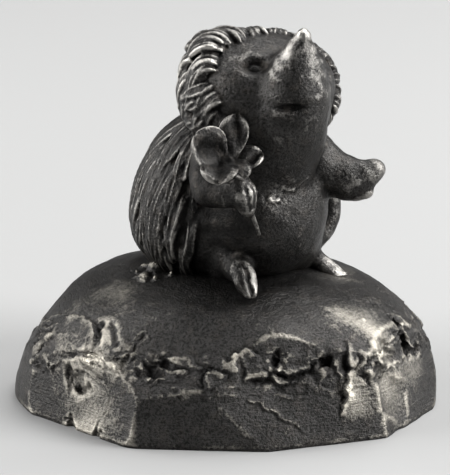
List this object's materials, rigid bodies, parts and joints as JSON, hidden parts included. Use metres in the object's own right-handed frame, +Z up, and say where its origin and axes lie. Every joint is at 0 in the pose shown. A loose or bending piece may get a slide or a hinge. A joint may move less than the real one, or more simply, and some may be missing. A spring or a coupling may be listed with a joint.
{
  "type": "hedgehog figurine",
  "caption": "Cast pewter hedgehog that looks up and holds a flower, standing on a low rocky plinth with a flat underside.",
  "frame": {"origin": "on the floor, under the middle of the rock's outline", "axes": "+Z up, -Y towards the viewer of the picture, +X to the viewer's right; the hedgehog faces between -Y and +X"},
  "size_m": [0.0464, 0.0392, 0.0427],
  "materials": {
    "hedgehog_pewter": "antiqued pewter, dark in the hollows and worn bright on the edges",
    "rock_pewter": "antiqued pewter, rough cast, with file marks on the lower facets"
  },
  "bodies": {
    "root": {"hedgehog": "hedgehog_pewter", "rock_plinth": "rock_pewter"}
  },
  "joints": []
}
